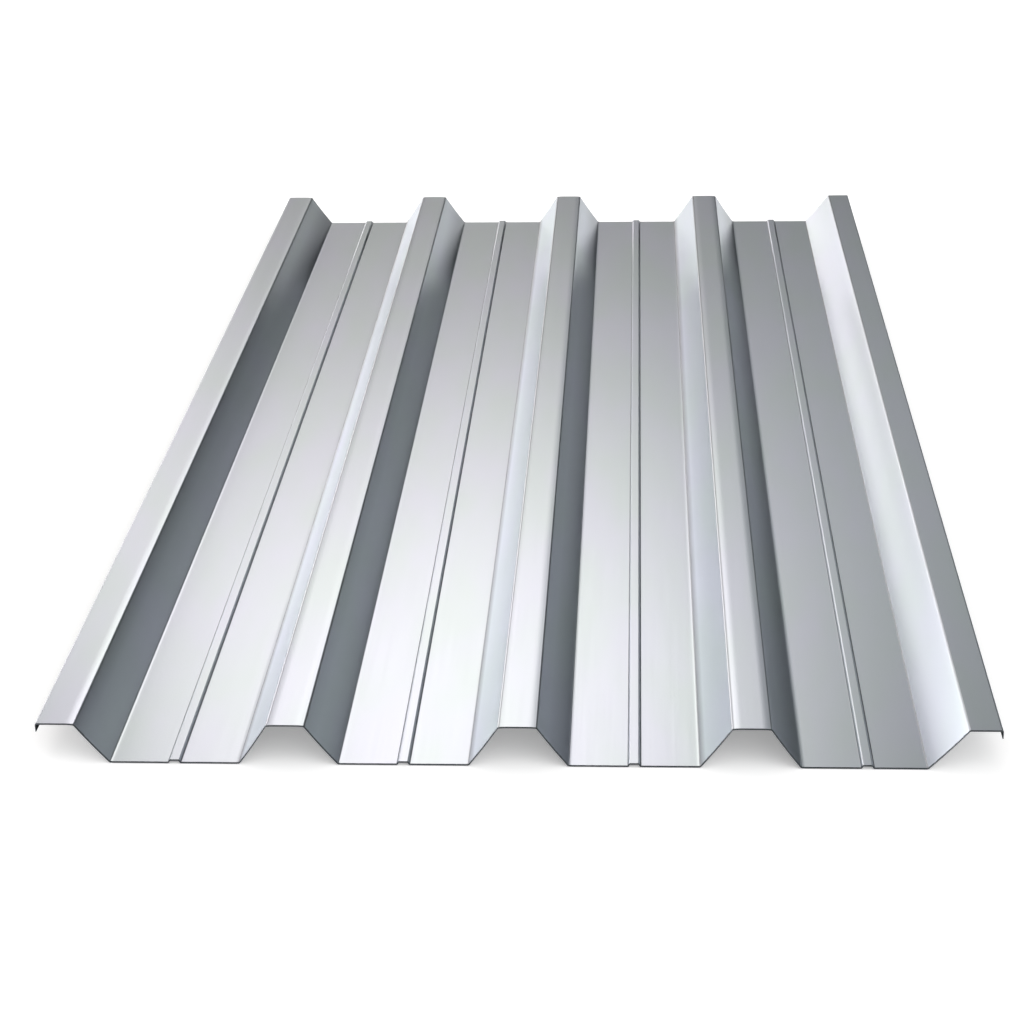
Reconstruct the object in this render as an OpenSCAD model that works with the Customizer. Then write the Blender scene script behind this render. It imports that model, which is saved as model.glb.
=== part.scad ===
// Galvanised steel sheet with a trapezoidal profile, roll formed cold from one flat strip.
// Flat pans lie between sloping ribs with flat crowns. A low bead stiffens the middle of each pan.
// Both long edges end half way through a rib, on a crown with a short lip turned down.
// X runs across the ribs, Y along them and Z up. The origin is under the middle of the sheet.

/* [Sheet] */
// Length of the sheet along its ribs
sheet_length = 1500; // [600:10:6000]
// Thickness of the coated steel
sheet_t = 1; // [0.5:0.1:1.5]
// Number of pans from edge to edge
pan_count = 4; // [2:1:6]

/* [Ribs] */
// Distance from the middle of one rib to the middle of the next
rib_pitch = 225; // [190:1:300]
// Height from the underside of a pan to the top of a crown
rib_height = 46; // [30:1:60]
// Width of a crown between its two fold lines
crown_w = 37; // [28:1:50]
// Width that one sloping web covers, seen from above
web_run = 30; // [18:1:40]

/* [Pan beads] */
// Width of a bead at its foot
bead_w = 12; // [9:0.5:20]
// Height that a bead stands above its pan
bead_h = 2.8; // [2:0.1:4]
// Width that one side of a bead covers, seen from above
bead_run = 1.5; // [1.2:0.1:4]

/* [Edges] */
// Width of the overlapping crown on the left, from its fold line to its edge
overlap_w = 37.5; // [30:0.5:45]
// Width of the underlapping crown on the right, from its fold line to its edge
underlap_w = 31.5; // [24:0.5:37]
// Width that the gentler web below the underlapping crown covers, seen from above
underlap_web_run = 36; // [18:1:42]
// Length of the lip turned down from each edge
lip_length = 9; // [6:0.5:15]
// Angle that a lip leans outwards from upright
lip_lean = 14; // [0:1:35]

/* [Folds] */
// Radius of the folds along the ribs, at the middle of the steel
rib_fold_r = 2.5; // [2:0.5:8]
// Radius of the folds along a bead, at the middle of the steel
bead_fold_r = 1.25; // [1:0.25:1.75]
// Radius of the fold above a lip, at the middle of the steel
lip_fold_r = 2; // [1.5:0.25:4]

/* [Hidden] */

zinc_colour = "#b7babc";

// Flat steps that draw the arc of one fold
fold_steps = 8;

pan_w = rib_pitch - crown_w - 2 * web_run;

// Heights of the middle of the steel in the pans, on the beads and in the crowns
pan_z = sheet_t / 2;
bead_z = pan_z + bead_h;
crown_z = rib_height - sheet_t / 2;

// The two edge crowns differ in width, and this move centres the whole width on the origin
centring = (overlap_w - underlap_w) / 2;

function pan_middle(i) = centring + (i - (pan_count - 1) / 2) * rib_pitch;

// Corners of the line that the middle of the steel follows over one pan, from crown to crown.
// Each corner is a point and the radius of the fold there. The web on the right has a given width.
function pan_corners(x, right_run) =
    let (
        left_fold = x - pan_w / 2 - web_run,
        right_fold = x + pan_w / 2 + web_run
    )
    [
        [[left_fold, crown_z], rib_fold_r],
        [[left_fold + web_run, pan_z], rib_fold_r],
        [[x - bead_w / 2, pan_z], bead_fold_r],
        [[x - bead_w / 2 + bead_run, bead_z], bead_fold_r],
        [[x + bead_w / 2 - bead_run, bead_z], bead_fold_r],
        [[x + bead_w / 2, pan_z], bead_fold_r],
        [[right_fold - right_run, pan_z], rib_fold_r],
        [[right_fold, crown_z], rib_fold_r],
    ];

// A crown's cut edge and its lip: outward is -1 for the left edge and 1 for the right
half_cover = (pan_count * rib_pitch - crown_w) / 2;
overlap_edge = [centring - half_cover - overlap_w, crown_z];
underlap_edge = [centring + half_cover + underlap_w, crown_z];

function lip_foot(edge, outward) =
    edge + lip_length * [outward * sin(lip_lean), -cos(lip_lean)];

corners = concat(
    [[lip_foot(overlap_edge, -1), 0], [overlap_edge, lip_fold_r]],
    [for (i = [0:pan_count - 2]) each pan_corners(pan_middle(i), web_run)],
    pan_corners(pan_middle(pan_count - 1), underlap_web_run),
    [[underlap_edge, lip_fold_r], [lip_foot(underlap_edge, 1), 0]]
);

function direction(from, to) = (to - from) / norm(to - from);

function left_of(d) = [-d.y, d.x];

function turned(v, angle) = [
    v.x * cos(angle) - v.y * sin(angle),
    v.x * sin(angle) + v.y * cos(angle)
];

// Arc of one fold, on the face that lies offset to the left of the middle line
function fold_arc(before, corner, after, radius, offset) =
    let (
        way_in = direction(before, corner),
        way_out = direction(corner, after),
        turn = atan2(cross(way_in, way_out), way_in * way_out),
        side = sign(turn),
        start = corner - way_in * radius * tan(abs(turn) / 2),
        centre = start + side * radius * left_of(way_in),
        spoke = (offset - side * radius) * left_of(way_in)
    )
    [for (k = [0:fold_steps]) centre + turned(spoke, turn * k / fold_steps)];

// One face of the whole sheet, from lip to lip
function face(offset) =
    let (last = len(corners) - 1)
    [
        corners[0][0] + offset * left_of(direction(corners[0][0], corners[1][0])),
        for (i = [1:last - 1])
            each fold_arc(corners[i - 1][0], corners[i][0], corners[i + 1][0], corners[i][1], offset),
        corners[last][0] + offset * left_of(direction(corners[last - 1][0], corners[last][0])),
    ];

function reversed(points) = [for (i = [len(points) - 1:-1:0]) points[i]];

module sheet() {
    color(zinc_colour)
    rotate([90, 0, 0])
    linear_extrude(height = sheet_length, center = true)
    polygon(concat(face(sheet_t / 2), reversed(face(-sheet_t / 2))));
}

sheet();
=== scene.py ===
import math

import bmesh
import bpy
from mathutils import Matrix, Vector, noise


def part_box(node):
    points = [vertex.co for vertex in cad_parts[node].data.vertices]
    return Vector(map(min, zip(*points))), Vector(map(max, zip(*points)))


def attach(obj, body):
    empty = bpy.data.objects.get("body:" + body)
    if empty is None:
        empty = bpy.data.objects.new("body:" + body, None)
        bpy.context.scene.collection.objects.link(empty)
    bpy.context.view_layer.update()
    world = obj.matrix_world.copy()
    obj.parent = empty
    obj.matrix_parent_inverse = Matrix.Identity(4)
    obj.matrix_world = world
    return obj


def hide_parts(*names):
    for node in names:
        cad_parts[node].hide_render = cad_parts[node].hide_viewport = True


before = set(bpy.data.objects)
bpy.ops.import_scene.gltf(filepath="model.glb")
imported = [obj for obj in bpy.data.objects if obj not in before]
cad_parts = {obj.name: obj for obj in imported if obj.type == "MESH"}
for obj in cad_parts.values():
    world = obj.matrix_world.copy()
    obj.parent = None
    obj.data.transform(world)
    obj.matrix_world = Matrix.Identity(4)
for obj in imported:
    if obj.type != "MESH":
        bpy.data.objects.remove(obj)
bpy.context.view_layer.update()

# The sheet: one strip of galvanised steel, roll formed cold into ribs, pans and beads, and sheared to length.
# The section comes from the near end of the solid. It is drawn along the length in short rows,
# so that the flats can carry the slight waves that rolling leaves in thin steel.

SAME_PLACE = 1e-6

# Spacing of the mesh: rows along the length, points across the flats, and points close beside a fold,
# which keep the shading of a flat clear of the fold. Only wide level flats have room for shoulders.
ROW_STEP = 0.025
FLAT_STEP = 0.008
FLAT_EDGE = 0.0004
SHORTEST_FLAT = 0.004
WIDE_FLAT = 0.016
SHOULDER_STEP = 0.001

# What the rolls leave: webs sunk between their folds, and lips closer to upright by a share of their drop.
WEB_SINK = 0.0005
FOLD_RISE = 0.003
LIP_REACH = 0.0047
LIP_TUCK = 0.2

# Pans and crowns curve softly into the rib folds, over these widths. The webs even the change out
# along their slope.
SHOULDER = {"foot": 0.002, "top": 0.007}
SHOULDER_SLOPE = 0.12
WEB_SETTLES = 0.025

# Slight waves in the flats, longer along the strip than across it.
WAVE_HEIGHT = 0.00025
WAVE_LENGTH = 0.35
WAVE_WIDTH = 0.175

# The shear drags the top corner of the near end down by a share of the thickness, over a narrow band.
# One more row just past the band keeps the shading of the flats clear of it.
SHEAR_BAND = 0.0012
PAST_SHEAR = 0.00156
SHEAR_ROLLOVER = 0.3

# A fold whose arc is longer than this belongs to a web. A shorter one belongs to a bead.
WEB_ARC = {"foot": 0.0014, "top": 0.0024}

# Painted shade: the zinc's colour is darkened in and beside the folds. Along the face of the steel, the shade
# starts and is full at these distances past the start of a fold's arc. It lasts until, and is gone at, these
# distances past the end of the arc. The last number is how dark the painted shade gets.
# Painted shade, fold by fold.
PAINTED_SHADE_FOLDS = {
    "left web foot": {"starts": 0.0, "full": 0.0008, "until": 0.0, "gone": 0.007, "painted_shade": 0.9},
    "underlap web foot": {"starts": 0.0, "full": 0.0004, "until": -0.0008, "gone": 0.0, "painted_shade": 0.9},
    "underlap web top": {"starts": -0.0004, "full": 0.0004, "until": 0.0, "gone": 0.0004, "painted_shade": 0.55},
    "right web foot": {"starts": -0.035, "full": 0.0, "until": -0.0018, "gone": -0.0008, "painted_shade": 0.5},
    "left web top": {"starts": -0.0004, "full": 0.0004, "until": 0.0, "gone": 0.0004, "painted_shade": 0.55},
    "left bead foot": {"starts": 0.0, "full": 0.0002, "until": 0.0, "gone": 0.0003, "painted_shade": 1.0},
    "right bead foot": {"starts": -0.0014, "full": -0.0006, "until": 0.0, "gone": 0.0003, "painted_shade": 1.0},
}
# Painted shade on the left lip: its colour is darkened below this drop from the crown.
LIP_PAINTED_SHADE = 0.8
LIP_DROP = 0.0003

CREASE_ANGLE = 40


def end_section(node):
    """The upper and lower line of the section, from the left lip to the right, as lists of (x, z)."""
    solid = bmesh.new()
    solid.from_mesh(node.data)
    bmesh.ops.remove_doubles(solid, verts=solid.verts, dist=SAME_PLACE)
    near_y = min(v.co.y for v in solid.verts)
    at_end = {v for v in solid.verts if v.co.y < near_y + SAME_PLACE}
    rim = {}
    for edge in solid.edges:
        cap_faces = [f for f in edge.link_faces if all(v in at_end for v in f.verts)]
        if len(cap_faces) == 1 and all(v in at_end for v in edge.verts):
            a, b = edge.verts
            rim.setdefault(a, []).append(b)
            rim.setdefault(b, []).append(a)
    left_foot = min(rim, key=lambda v: v.co.x)
    right_foot = max(rim, key=lambda v: v.co.x)
    loop = [left_foot, max(rim[left_foot], key=lambda v: v.co.z)]
    while len(loop) < len(rim):
        loop.append(next(v for v in rim[loop[-1]] if v is not loop[-2]))
    turn = loop.index(right_foot) + 1
    upper = [(v.co.x, v.co.z) for v in loop[:turn]]
    lower = [(v.co.x, v.co.z) for v in reversed(loop[turn:])]
    solid.free()
    return upper, lower


def between(a, b, share):
    """The point that lies a share of the way from one point to another."""
    return tuple(p + (q - p) * share for p, q in zip(a, b))


def with_flats_divided(upper, lower):
    """Adds points along the flats and close beside their folds, at the same places on both lines."""
    lines = [upper[:1], lower[:1]]
    for i in range(1, len(upper)):
        shares = [1.0]
        length = math.dist(upper[i - 1], upper[i])
        if length > SHORTEST_FLAT:
            edges = [FLAT_EDGE / length]
            level = abs(upper[i][1] - upper[i - 1][1]) < SAME_PLACE
            if level and length > WIDE_FLAT:
                shoulder_steps = round(SHOULDER["top"] / SHOULDER_STEP)
                edges += [k * SHOULDER_STEP / length for k in range(1, shoulder_steps + 1)]
            steps = round(length / FLAT_STEP)
            middle = [k / steps for k in range(1, steps) if edges[-1] < k / steps < 1 - edges[-1]]
            shares = edges + middle + [1 - share for share in reversed(edges)] + [1.0]
        for share in shares:
            lines[0].append(between(upper[i - 1], upper[i], share))
            lines[1].append(between(lower[i - 1], lower[i], share))
    return lines


def with_webs_sunk(line, lip_edge):
    """Sinks each web a little between its folds, deepest half way up, as thin steel does behind the rolls."""
    pan = min(z for x, z in line)
    crown = max(z for x, z in line)
    sunk = line[:1]
    for i in range(1, len(line) - 1):
        x, z = line[i]
        share = (z - pan - FOLD_RISE) / (crown - pan - 2 * FOLD_RISE)
        if 0 < share < 1 and abs(x) < lip_edge:
            along = Vector(line[i + 1]) - Vector(line[i - 1])
            inward = Vector((along.y, -along.x)).normalized() * WEB_SINK * 4 * share * (1 - share)
            x, z = x + inward.x, z + inward.y
        sunk.append((x, z))
    return sunk + line[-1:]


def with_lips_tucked(line, lip_edge, crown):
    """Brings the lips closer to upright, as the rolls leave them at the edges of the strip."""
    tucked = []
    for x, z in line:
        if abs(x) > lip_edge:
            x -= math.copysign((crown - z) * LIP_TUCK, x)
        tucked.append((x, z))
    return tucked


def runs_along(line):
    """The distance of each point from the left lip, along the face of the steel."""
    runs = [0.0]
    for a, b in zip(line, line[1:]):
        runs.append(runs[-1] + math.dist(a, b))
    return runs


def folds_of(line, runs):
    """Each fold of the upper face: its name, and where its arc starts and ends along the run.

    A left web or bead side faces left, so it rises to the right. The last left web is the underlap's.
    """
    turns = [0.0]
    for a, b, c in zip(line, line[1:], line[2:]):
        before, after = Vector(b) - Vector(a), Vector(c) - Vector(b)
        turns.append(before.angle_signed(after))
    folds = []
    i = 1
    while i < len(turns):
        start = i
        while i < len(turns) and turns[i] * turns[start] > SAME_PLACE:
            i += 1
        if i > start + 1:
            a, b = line[start - 1], line[start]
            hollow = turns[start] < 0
            level_before = abs(b[1] - a[1]) < SAME_PLACE
            side = "left" if hollow == level_before else "right"
            place = "foot" if hollow else "top"
            part = "web" if runs[i - 1] - runs[start] > WEB_ARC[place] else "bead"
            folds.append({"name": f"{side} {part} {place}", "start": runs[start], "end": runs[i - 1]})
        i = max(i, start + 1)
    for name in ("web foot", "web top"):
        [fold for fold in folds if fold["name"] == f"left {name}"][-1]["name"] = f"underlap {name}"
    return folds


def shoulder_lifts(runs, folds):
    """How far each point rises where a pan curves up to a rib, or sinks where a crown curves down.

    The first and last folds are those of the lips. They and the underlap's web have no shoulders.
    """
    lifts = [0.0] * len(runs)
    for fold in folds[1:-1]:
        side, part, place = fold["name"].split()
        if part == "web" and side != "underlap":
            reach = SHOULDER[place]
            rise = SHOULDER_SLOPE * reach / 2 * (1 if place == "foot" else -1)
            flat_first = (side == "right") == (place == "top")
            for i, run in enumerate(runs):
                into_flat = fold["start"] - run if flat_first else run - fold["end"]
                into_web = run - fold["start"] if flat_first else fold["end"] - run
                if 0 <= into_flat < reach:
                    lifts[i] = rise * (1 - into_flat / reach) ** 2
                elif 0 <= into_web < WEB_SETTLES:
                    lifts[i] = rise * (1 - into_web / WEB_SETTLES)
    return lifts


def rolling_wave(x, y):
    """How far the flats rise at a place, in metres."""
    place = Vector((x / WAVE_WIDTH, y / WAVE_LENGTH, 0))
    return WAVE_HEIGHT * (0.5 + 0.5 * noise.noise(place))


UPPER, LOWER = 0, 1
low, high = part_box("sheet")
lip_edge = high[0] - LIP_REACH
folded = with_flats_divided(*end_section(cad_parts["sheet"]))
runs = [runs_along(line) for line in folded]
folds = folds_of(folded[UPPER], runs[UPPER])
lifts = shoulder_lifts(runs[UPPER], folds)
lines = []
for line in folded:
    sprung = [(x, z + lift) for (x, z), lift in zip(with_webs_sunk(line, lip_edge), lifts)]
    lines.append(with_lips_tucked(sprung, lip_edge, high[2]))
across = len(lines[UPPER])

evenly_from = low[1] + PAST_SHEAR
row_places = [low[1], low[1] + SHEAR_BAND, evenly_from]
even_rows = round((high[1] - evenly_from) / ROW_STEP)
for r in range(1, even_rows + 1):
    row_places.append(evenly_from + (high[1] - evenly_from) * r / even_rows)
rows = len(row_places) - 1

# Painted shade, as a depth at each point of the upper line: on the left lip and in and beside the folds.
painted_shade = [LIP_PAINTED_SHADE if x < -lip_edge and z < high[2] - LIP_DROP else 0.0 for x, z in folded[UPPER]]
for fold in folds:
    if fold["name"] in PAINTED_SHADE_FOLDS:
        kind = PAINTED_SHADE_FOLDS[fold["name"]]
        for i, run in enumerate(runs[UPPER]):
            rise = (run - fold["start"] - kind["starts"]) / (kind["full"] - kind["starts"])
            fall = (fold["end"] + kind["gone"] - run) / (kind["gone"] - kind["until"])
            painted_shade[i] = max(painted_shade[i], kind["painted_shade"] * min(rise, 1, fall))

points = []
strip_places = []
painted_shade_depths = []
for r, y in enumerate(row_places):
    for line in (UPPER, LOWER):
        for i in range(across):
            x, z = lines[line][i]
            if line == UPPER and r == 0:
                x, z = between(lines[UPPER][i], lines[LOWER][i], SHEAR_ROLLOVER)
            points.append((x, y, z + rolling_wave(x, y)))
            strip_places.append((runs[line][i], y, 0.0))
            painted_shade_depths.append(painted_shade[i] if line == UPPER else 0.0)


def at(r, line, i):
    """The number of a point, by its row, its line and its place along the line."""
    return (2 * r + line) * across + i


def long_face(r, first, second):
    """A face between two places of the section, from one row to the next."""
    return at(r, *first), at(r, *second), at(r + 1, *second), at(r + 1, *first)


def end_face(r, i, first_line, second_line):
    """A face through the thickness of the steel, at an end of the sheet."""
    return at(r, first_line, i), at(r, first_line, i + 1), at(r, second_line, i + 1), at(r, second_line, i)


last = across - 1
skin_faces = []
under_faces = []
sheared_faces = []
for r in range(rows):
    upper_faces = sheared_faces if r == 0 else skin_faces
    for i in range(last):
        upper_faces.append(long_face(r, (UPPER, i), (UPPER, i + 1)))
        under_faces.append(long_face(r, (LOWER, i + 1), (LOWER, i)))
    sheared_faces.append(long_face(r, (LOWER, 0), (UPPER, 0)))
    sheared_faces.append(long_face(r, (UPPER, last), (LOWER, last)))
for i in range(last):
    sheared_faces.append(end_face(0, i, LOWER, UPPER))
    sheared_faces.append(end_face(rows, i, UPPER, LOWER))

ZINC, UNDERSIDE, CUT = 0, 1, 2
face_materials = [ZINC] * len(skin_faces) + [UNDERSIDE] * len(under_faces) + [CUT] * len(sheared_faces)
sheet_mesh = bpy.data.meshes.new("ribbed_sheet")
sheet_mesh.from_pydata(points, [], skin_faces + under_faces + sheared_faces)
for face, material in zip(sheet_mesh.polygons, face_materials):
    face.material_index = material
    face.use_smooth = True
place = sheet_mesh.attributes.new("strip_place", "FLOAT_VECTOR", "POINT")
place.data.foreach_set("vector", [c for p in strip_places for c in p])
# The depth of the painted shade at each point, which darkens the zinc's colour.
crease = sheet_mesh.attributes.new("crease", "FLOAT", "POINT")
crease.data.foreach_set("value", painted_shade_depths)
sheet_mesh.set_sharp_from_angle(angle=math.radians(CREASE_ANGLE))


def linear(code):
    """An sRGB hex colour as linear red, green, blue and alpha."""
    parts = [int(code[i:i + 2], 16) / 255 for i in (1, 3, 5)]
    return [c / 12.92 if c <= 0.04045 else ((c + 0.055) / 1.055) ** 2.4 for c in parts] + [1.0]


def add_node(tree, kind, sockets, **settings):
    """Adds a node with its settings. A socket takes a value, or a (node, output) pair to link from."""
    node = tree.nodes.new(kind)
    for name, value in settings.items():
        setattr(node, name, value)
    for name, value in sockets.items():
        if isinstance(value, tuple) and isinstance(value[0], bpy.types.Node):
            tree.links.new(value[0].outputs[value[1]], node.inputs[name])
        else:
            node.inputs[name].default_value = value
    return node


# Hot-dip galvanised steel, skin passed and passivated: a satin zinc coat with no spangle, cool grey,
# which shows the room as soft gradients. The passivation film tints it faintly in long patches, from green
# to lilac.
TINT_ALONG_MM, TINT_ACROSS_MM = 190, 75
TINT_FROM, TINT_TO = 0.35, 0.65
STREAK_ALONG_MM, STREAK_ACROSS_MM = 160, 2.5
STREAK_FROM, STREAK_TO = 0.3, 0.7
SMOOTHEST, ROUGHEST = 0.295, 0.31
GRAIN_MM = 2.0
GRAIN_HEIGHT = 0.001
GRAIN_STRENGTH = 0.04
MIX_FIRST, MIX_SECOND, MIX_RESULT = 6, 7, 2
zinc = bpy.data.materials.new("galvanised_steel_skin_passed")
zinc.use_nodes = True
tree = zinc.node_tree
shader = tree.nodes["Principled BSDF"]
shader.inputs["Metallic"].default_value = 1.0
where = add_node(tree, "ShaderNodeAttribute", {}, attribute_name="strip_place")
tint_place = add_node(
    tree,
    "ShaderNodeMapping",
    {"Vector": (where, "Vector"), "Scale": (1000 / TINT_ACROSS_MM, 1000 / TINT_ALONG_MM, 1)},
)
tint = add_node(tree, "ShaderNodeTexNoise", {"Vector": (tint_place, "Vector"), "Scale": 1.0, "Detail": 2.0})
film = add_node(tree, "ShaderNodeValToRGB", {"Fac": (tint, "Fac")})
film.color_ramp.elements[0].position = TINT_FROM
film.color_ramp.elements[0].color = linear("#b3bdc0")
film.color_ramp.elements[1].position = TINT_TO
film.color_ramp.elements[1].color = linear("#b6bcc6")
# Painted shade: the zinc's colour is darkened on the left lip, in thin lines along the beads and the webs
# that face left, and towards the foot of the webs that face right.
painted_shade_amount = add_node(tree, "ShaderNodeAttribute", {}, attribute_name="crease")
painted_shade_colour = add_node(
    tree,
    "ShaderNodeMix",
    {"Factor": (painted_shade_amount, "Fac"), MIX_FIRST: (film, "Color"), MIX_SECOND: linear("#6d7176")},
    data_type="RGBA",
)
tree.links.new(painted_shade_colour.outputs[MIX_RESULT], shader.inputs["Base Color"])
# Rolling leaves fine streaks along the strip, a little smoother or rougher than the rest.
streak_place = add_node(
    tree,
    "ShaderNodeMapping",
    {"Vector": (where, "Vector"), "Scale": (1000 / STREAK_ACROSS_MM, 1000 / STREAK_ALONG_MM, 1)},
)
streak = add_node(
    tree,
    "ShaderNodeTexNoise",
    {"Vector": (streak_place, "Vector"), "Scale": 1.0, "Detail": 3.0},
)
gloss = add_node(
    tree,
    "ShaderNodeMapRange",
    {
        "Value": (streak, "Fac"),
        "From Min": STREAK_FROM,
        "From Max": STREAK_TO,
        "To Min": SMOOTHEST,
        "To Max": ROUGHEST,
    },
)
tree.links.new(gloss.outputs["Result"], shader.inputs["Roughness"])
# The zinc's own grain is about 0.4 mm. It is drawn coarser, so that it shows.
grain = add_node(
    tree,
    "ShaderNodeTexNoise",
    {"Vector": (where, "Vector"), "Scale": 1000 / GRAIN_MM, "Detail": 1.0},
)
uneven = add_node(
    tree,
    "ShaderNodeBump",
    {"Height": (grain, "Fac"), "Strength": GRAIN_STRENGTH, "Distance": GRAIN_HEIGHT},
)
tree.links.new(uneven.outputs["Normal"], shader.inputs["Normal"])

# The same zinc on the underside, which the polished rolls of the skin pass leave alone: rougher, and given a
# darker colour and edge tint that paint shade on the underside and on the lips.
DULL_SMOOTHEST, DULL_ROUGHEST = 0.45, 0.55
underside_with_painted_shade = zinc.copy()
underside_with_painted_shade.name = "galvanised_steel_underside_painted_shade"
underside_shade_film = underside_with_painted_shade.node_tree.nodes[film.name].color_ramp
# Painted shade: darker colours and a darker edge tint than the upper skin.
underside_shade_film.elements[0].color = linear("#565b5d")
underside_shade_film.elements[1].color = linear("#5d5f64")
underside_with_painted_shade.node_tree.nodes["Principled BSDF"].inputs["Specular Tint"].default_value = linear("#5a5a5a")
dull_gloss = underside_with_painted_shade.node_tree.nodes[gloss.name]
dull_gloss.inputs["To Min"].default_value = DULL_SMOOTHEST
dull_gloss.inputs["To Max"].default_value = DULL_ROUGHEST

# Sheared steel: the bare cut edge, with the zinc dragged off a narrow band. Its dark colour is partly the
# bare steel and partly painted shade, a dark line along the cut edges.
TEAR_MM = 3
TEAR_FROM, TEAR_TO = 0.3, 0.7
sheared_edge_and_shade = bpy.data.materials.new("sheared_steel_edge_and_painted_shade")
sheared_edge_and_shade.use_nodes = True
tree = sheared_edge_and_shade.node_tree
shader = tree.nodes["Principled BSDF"]
shader.inputs["Metallic"].default_value = 1.0
shader.inputs["Roughness"].default_value = 0.5
where = add_node(tree, "ShaderNodeAttribute", {}, attribute_name="strip_place")
tear = add_node(
    tree,
    "ShaderNodeTexNoise",
    {"Vector": (where, "Vector"), "Scale": 1000 / TEAR_MM, "Detail": 2.0},
)
torn = add_node(tree, "ShaderNodeValToRGB", {"Fac": (tear, "Fac")})
torn.color_ramp.elements[0].position = TEAR_FROM
# Dark tones, partly bare steel and partly painted shade.
torn.color_ramp.elements[0].color = linear("#484c50")
torn.color_ramp.elements[1].position = TEAR_TO
torn.color_ramp.elements[1].color = linear("#5c6064")
tree.links.new(torn.outputs["Color"], shader.inputs["Base Color"])

sheet_mesh.materials.append(zinc)
sheet_mesh.materials.append(underside_with_painted_shade)
sheet_mesh.materials.append(sheared_edge_and_shade)
sheet = bpy.data.objects.new("ribbed_sheet", sheet_mesh)
bpy.context.scene.collection.objects.link(sheet)
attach(sheet, "root")
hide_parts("sheet")

# The floor: matt white background paper, laid flat under the sheet and out to the horizon.
# It glows faintly to the eye and in the metal, so that it is white at a plain level of light,
# and it keeps the shadow of the sheet.
FLOOR_HALF = 30.0
FLOOR_DROP = 0.0005
FLOOR_GLOW = 0.28
floor_mesh = bpy.data.meshes.new("studio_floor")
floor_corners = [
    (-FLOOR_HALF, -FLOOR_HALF, -FLOOR_DROP),
    (FLOOR_HALF, -FLOOR_HALF, -FLOOR_DROP),
    (FLOOR_HALF, FLOOR_HALF, -FLOOR_DROP),
    (-FLOOR_HALF, FLOOR_HALF, -FLOOR_DROP),
]
floor_mesh.from_pydata(floor_corners, [], [(0, 1, 2, 3)])
# Matt paper: a soft, even white with no gloss.
paper = bpy.data.materials.new("white_floor_paper")
paper.use_nodes = True
tree = paper.node_tree
shader = tree.nodes["Principled BSDF"]
shader.inputs["Base Color"].default_value = linear("#f8f8f8")
shader.inputs["Roughness"].default_value = 1.0
shader.inputs["Specular IOR Level"].default_value = 0.0
shader.inputs["Emission Color"].default_value = linear("#ffffff")
seen_by = add_node(tree, "ShaderNodeLightPath", {})
looked_at = add_node(
    tree,
    "ShaderNodeMath",
    {0: (seen_by, "Is Camera Ray"), 1: (seen_by, "Is Glossy Ray")},
    operation="MAXIMUM",
)
shown = add_node(
    tree,
    "ShaderNodeMath",
    {0: (looked_at, "Value"), 1: (seen_by, "Is Transmission Ray")},
    operation="MAXIMUM",
)
glow = add_node(tree, "ShaderNodeMath", {0: (shown, "Value"), 1: FLOOR_GLOW}, operation="MULTIPLY")
tree.links.new(glow.outputs["Value"], shader.inputs["Emission Strength"])
paper.cycles.emission_sampling = "NONE"
floor_mesh.materials.append(paper)
floor = bpy.data.objects.new("studio_floor", floor_mesh)
bpy.context.scene.collection.objects.link(floor)

# The studio light: soft boxes beyond the far end of the sheet and low windows along its left, which the zinc
# mirrors. Weak wide panels on the other sides and overhead light it evenly from there. Low on the far right
# the room is dark.
# Each light is a smooth round patch of the world, placed by its compass angle from the far end of the sheet
# and its height, both in degrees, with the reach of its even middle and of its soft edge.
ROOM_GREY = 0.02
SOFT_BOXES = [
    {"azimuth": -8, "elevation": 37, "inner": 1, "outer": 14, "strength": 3.3, "colour": "#fff6f1"},
    {"azimuth": -22, "elevation": 37, "inner": 4, "outer": 13, "strength": 0.15, "colour": "#ffffff"},
    {"azimuth": 10, "elevation": 32, "inner": 6, "outer": 15, "strength": 0.58, "colour": "#ffffff"},
    {"azimuth": -27, "elevation": 16, "inner": 7, "outer": 14, "strength": 2.95, "colour": "#fff6f3"},
    {"azimuth": -34, "elevation": 13, "inner": 4, "outer": 12, "strength": 3.2, "colour": "#fff6f3"},
    {"azimuth": -50, "elevation": 4, "inner": 4, "outer": 13, "strength": 6.6, "colour": "#fffcfa"},
    {"azimuth": -62, "elevation": 5, "inner": 5, "outer": 16, "strength": 5.0, "colour": "#ffffff"},
    {"azimuth": 135, "elevation": 30, "inner": 20, "outer": 60, "strength": 1.2, "colour": "#ffffff"},
    {"azimuth": 180, "elevation": 48, "inner": 15, "outer": 50, "strength": 0.6, "colour": "#ffffff"},
    {"azimuth": 95, "elevation": 25, "inner": 10, "outer": 40, "strength": 0.7, "colour": "#ffffff"},
    {"azimuth": -100, "elevation": 35, "inner": 10, "outer": 40, "strength": 0.6, "colour": "#ffffff"},
    {"azimuth": 180, "elevation": 88, "inner": 10, "outer": 30, "strength": 0.9, "colour": "#ffffff"},
    {"azimuth": -60, "elevation": 37, "inner": 8, "outer": 30, "strength": 0.8, "colour": "#ffffff"},
    {"azimuth": 62, "elevation": 34, "inner": 6, "outer": 24, "strength": 0.75, "colour": "#ffffff"},
]
world = bpy.data.worlds.new("studio")
bpy.context.scene.world = world
world.use_nodes = True
tree = world.node_tree
background = tree.nodes["Background"]
way = add_node(tree, "ShaderNodeTexCoord", {})
total = None
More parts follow.
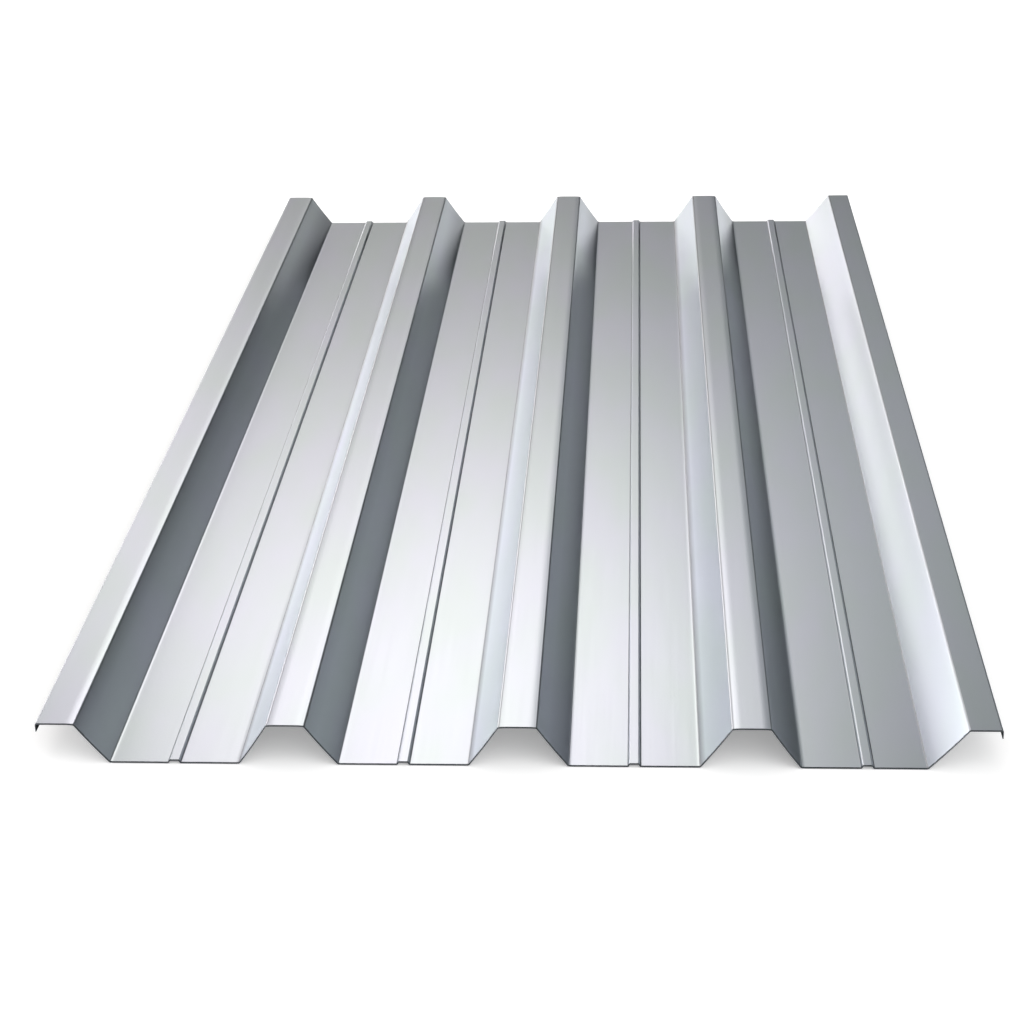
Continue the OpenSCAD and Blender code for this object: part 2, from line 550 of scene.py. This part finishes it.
for box in SOFT_BOXES:
    azimuth, elevation = math.radians(box["azimuth"]), math.radians(box["elevation"])
    outward = math.cos(elevation)
    axis = (math.sin(azimuth) * outward, math.cos(azimuth) * outward, math.sin(elevation))
    facing = add_node(
        tree,
        "ShaderNodeVectorMath",
        {0: (way, "Generated"), 1: axis},
        operation="DOT_PRODUCT",
    )
    patch = add_node(
        tree,
        "ShaderNodeMapRange",
        {
            "Value": (facing, "Value"),
            "From Min": math.cos(math.radians(box["outer"])),
            "From Max": math.cos(math.radians(box["inner"])),
            "To Min": 0.0,
            "To Max": box["strength"],
        },
        interpolation_type="SMOOTHERSTEP",
    )
    light = add_node(
        tree,
        "ShaderNodeVectorMath",
        {0: linear(box["colour"])[:3], "Scale": (patch, "Result")},
        operation="SCALE",
    )
    so_far = (total, "Vector") if total else (ROOM_GREY, ROOM_GREY, ROOM_GREY)
    total = add_node(tree, "ShaderNodeVectorMath", {0: so_far, 1: (light, "Vector")}, operation="ADD")
tree.links.new(total.outputs["Vector"], background.inputs["Color"])

# The camera: at the photograph's height and angle, looking along the ribs from the near end.
# The eye is in metres and the angles are in degrees.
EYE = (0.1163, -2.1861, 1.0893)
HEADING = -2.703
TILT_DOWN = 29.271
ROLL = 1.172
LENS_MM = 64.7
SENSOR_MM = 36.0
SHIFT_X = -0.0469
SIGHT_END = 200.0
heading, tilt, roll = (math.radians(angle) for angle in (HEADING, TILT_DOWN, ROLL))
ahead = Vector((math.sin(heading), math.cos(heading), 0))
level_right = Vector((math.cos(heading), -math.sin(heading), 0))
forward = ahead * math.cos(tilt) - Vector((0, 0, 1)) * math.sin(tilt)
level_up = ahead * math.sin(tilt) + Vector((0, 0, 1)) * math.cos(tilt)
right = level_right * math.cos(roll) - level_up * math.sin(roll)
up = level_right * math.sin(roll) + level_up * math.cos(roll)
lens = bpy.data.cameras.new("camera")
lens.lens = LENS_MM
lens.sensor_width = SENSOR_MM
lens.shift_x = SHIFT_X
lens.clip_end = SIGHT_END
camera = bpy.data.objects.new("camera", lens)
camera.matrix_world = Matrix.Translation(EYE) @ Matrix((right, up, -forward)).transposed().to_4x4()
bpy.context.scene.collection.objects.link(camera)
bpy.context.scene.camera = camera
bpy.context.scene.view_settings.view_transform = "Standard"
